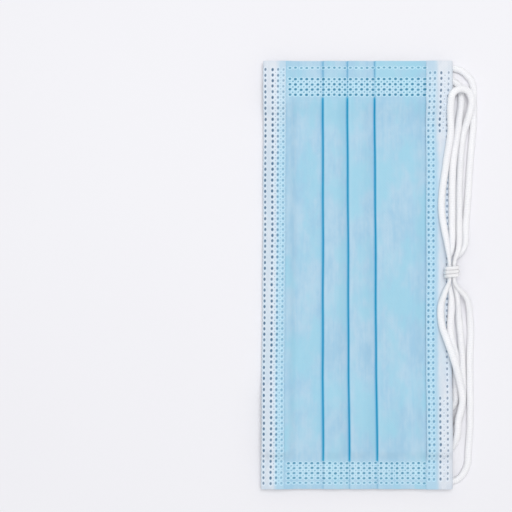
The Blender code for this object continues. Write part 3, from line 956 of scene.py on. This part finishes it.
def make_tie(material):
    """A short elastic wound three times round the strands, on a square path with round corners."""
    low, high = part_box("loop_tie")
    middle = (low + high) / 2
    half = TIE_HOLE / 2 + TIE_DEPTH / 2
    corner = TIE_CORNER + TIE_DEPTH / 2
    square = half - corner
    turn = np.linspace(0.0, TIE_TURNS, TIE_TURNS * TIE_STEPS + 1) * 2 * math.pi + TIE_FIRST_ANGLE
    sides = []
    for wave in (np.cos(turn), np.sin(turn)):
        sides.append(corner * wave + square * np.clip(TIE_SQUARENESS * wave, -1, 1))
    share = np.linspace(0.0, 1.0, len(turn))
    slack = 1 + TIE_SLACK / half * ramp(np.abs(share - 0.5), 0.22, 0.0)
    room = (high.y - low.y - TIE_STRAND) / 2
    x, y, z = slack * sides[0], room * (1 - 2 * share), slack * sides[1]
    line = np.stack([middle.x + x, middle.y + y, middle.z + z], axis=1)
    out = np.stack([np.cos(turn), np.zeros_like(turn), np.sin(turn)], axis=1)
    taper = TIE_THIN_END + (1 - TIE_THIN_END) * ramp(np.minimum(share, 1 - share), 0.0, 0.05)
    tie = sweep_tube("tie_winding", line, taper * TIE_STRAND / 2, taper * TIE_DEPTH / 2, material, up=out)
    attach(tie, "root")
    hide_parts("loop_tie")
    return tie


def pick_faces(piece, chosen):
    """Selects in edit mode the faces that chosen(face) says."""
    shape = bmesh.from_edit_mesh(piece.data)
    for face in shape.faces:
        face.select = bool(chosen(face))
    shape.select_flush_mode()
    bmesh.update_edit_mesh(piece.data)


def make_weld_pad(name, material):
    """A loop's end pressed flat under a corner of the mask, narrower toward the cord."""
    low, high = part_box(name)
    middle, size = (low + high) / 2, high - low
    bpy.ops.object.select_all(action="DESELECT")
    bpy.ops.mesh.primitive_cube_add(size=1.0, location=middle, scale=size)
    pad = bpy.context.active_object
    pad.name = name.replace("loop_weld", "weld_pad")
    bpy.ops.object.transform_apply(location=True, rotation=False, scale=True)
    bpy.ops.object.mode_set(mode="EDIT")
    pick_faces(pad, lambda face: face.normal.x > 0.9)
    bpy.ops.transform.resize(value=(1, PAD_NARROW, 1), center_override=middle)
    pick_faces(pad, lambda face: face.normal.z < -0.9)
    bpy.ops.mesh.inset(thickness=PAD_RIM, depth=0)
    bpy.ops.mesh.inset(thickness=PAD_WALL, depth=-PAD_PRESS)
    bpy.ops.object.mode_set(mode="OBJECT")
    sharp = {"limit_method": "ANGLE", "angle_limit": math.radians(35)}
    for kind, settings in (
        ("BEVEL", {"width": PAD_ROUNDING, "segments": 3, **sharp}),
        ("SUBSURF", {"levels": 1, "render_levels": 1}),
    ):
        added = pad.modifiers.new(kind.lower(), kind)
        for setting, value in settings.items():
            setattr(added, setting, value)
        bpy.ops.object.modifier_apply(modifier=added.name)
    bpy.ops.object.shade_smooth()
    pad.data.materials.append(material)
    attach(pad, "root")
    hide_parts(name)


def weld_pad_material():
    """Elastic fused flat: smooth and slightly glossy, with the stitches still faintly there."""
    material, tree, shader = new_material("fused_elastic", 0.5)
    place = object_place(tree)
    rows = add_node(tree, "ShaderNodeTexVoronoi", {
        "Vector": stretch(tree, place, (1500, 2300, 1500)), "Scale": 1.0, "Randomness": 0.3,
    }, feature="F1")
    loops = remap(tree, rows.outputs["Distance"], 0.15, 0.6, 1.0, 0.0)
    clouds = noise(tree, place, (420, 420, 420), detail=3.0)
    tone = blend(tree, remap(tree, clouds, 0.3, 0.7), display(220, 222, 228), display(240, 241, 245))
    fused = blend(tree, arithmetic(tree, "MULTIPLY", loops, 0.25), tone, display(250, 250, 252))
    tree.links.new(fused, shader.inputs["Base Color"])
    tree.links.new(remap(tree, clouds, 0.3, 0.7, 0.38, 0.6), shader.inputs["Roughness"])
    tree.links.new(add_bump(tree, loops, 0.00008, 0.4), shader.inputs["Normal"])
    return material


# Stage

def make_floor():
    bpy.ops.object.select_all(action="DESELECT")
    bpy.ops.mesh.primitive_plane_add(size=6.0, location=(0, 0, 0))
    floor = bpy.context.active_object
    floor.name = "floor"
    material, tree, shader = new_material("pale_floor", 0.6)
    place = object_place(tree)
    tone = blend(tree, noise(tree, place, (9, 9, 9)), display(236, 235, 239), display(238, 238, 241))
    tree.links.new(tone, shader.inputs["Base Color"])
    floor.data.materials.append(material)


def add_light(name, place, aim, size, power):
    data = bpy.data.lights.new(name, "AREA")
    data.shape = "SQUARE"
    data.size = size
    data.energy = power
    lamp = bpy.data.objects.new(name, data)
    bpy.context.scene.collection.objects.link(lamp)
    lamp.location = place
    lamp.rotation_euler = (Vector(aim) - Vector(place)).to_track_quat("-Z", "Y").to_euler()


# The photograph is 512 pixels wide and looks straight down
PHOTO_PIXELS = 512
PIXELS_PER_MM = 2.446
MIDDLE_COLUMN = 356.8
MIDDLE_ROW = 275.0
LENS = 100.0
SENSOR = 36.0


def add_camera():
    data = bpy.data.cameras.new("camera")
    data.lens = LENS
    data.sensor_width = SENSOR
    camera = bpy.data.objects.new("camera", data)
    bpy.context.scene.collection.objects.link(camera)
    centre = PHOTO_PIXELS / 2
    x = (centre - MIDDLE_COLUMN) / PIXELS_PER_MM * MM
    y = (MIDDLE_ROW - centre) / PIXELS_PER_MM * MM
    distance = PHOTO_PIXELS / PIXELS_PER_MM * MM * LENS / SENSOR
    top = LEVEL_HIGH + CLOTH / 2
    camera.location = (x, y, top + distance)
    camera.rotation_euler = (0, 0, 0)
    data.clip_start = 0.01
    bpy.context.scene.camera = camera


def light_scene():
    world = bpy.data.worlds.new("studio")
    world.use_nodes = True
    sky = world.node_tree.nodes["Background"]
    sky.inputs["Color"].default_value = display(252, 252, 254)
    sky.inputs["Strength"].default_value = 0.53
    bpy.context.scene.world = world
    add_light("softbox", (0.07, 0.26, 1.17), (0, 0, 0), 0.5, 5.75)
    add_light("fill", (-0.16, 0.0, 1.20), (0, 0, 0), 0.6, 2.6)
    bpy.context.scene.view_settings.view_transform = "Standard"


make_floor()
add_camera()
light_scene()
ELASTIC_CORD = elastic_material("white_elastic_cord", (252, 252, 253), (236, 237, 242))
# The tie's elastic is the loops' elastic painted lighter, a painted highlight on the wound tie
TIE_PIECE = make_tie(elastic_material("white_elastic_tie_painted_highlight", (255, 254, 255), (247, 246, 250)))
make_loop("ear_loop_upper", UPPER_ROUTE, ELASTIC_CORD)
make_loop("ear_loop_lower", LOWER_ROUTE, ELASTIC_CORD)
make_panel()
BINDING_CLOTH = binding_cloth()
make_band("nose_band", 1, NOSE_BAND, NOSE_SHOW, BINDING_CLOTH)
make_band("chin_band", -1, CHIN_BAND, CHIN_SHOW, BINDING_CLOTH)
FUSED_ELASTIC = weld_pad_material()
for corner in ("upper_nose", "upper_chin", "lower_nose", "lower_chin"):
    make_weld_pad("loop_weld_" + corner, FUSED_ELASTIC)
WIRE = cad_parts["nose_wire"]
WIRE.data.materials.clear()
WIRE.data.materials.append(wire_material())
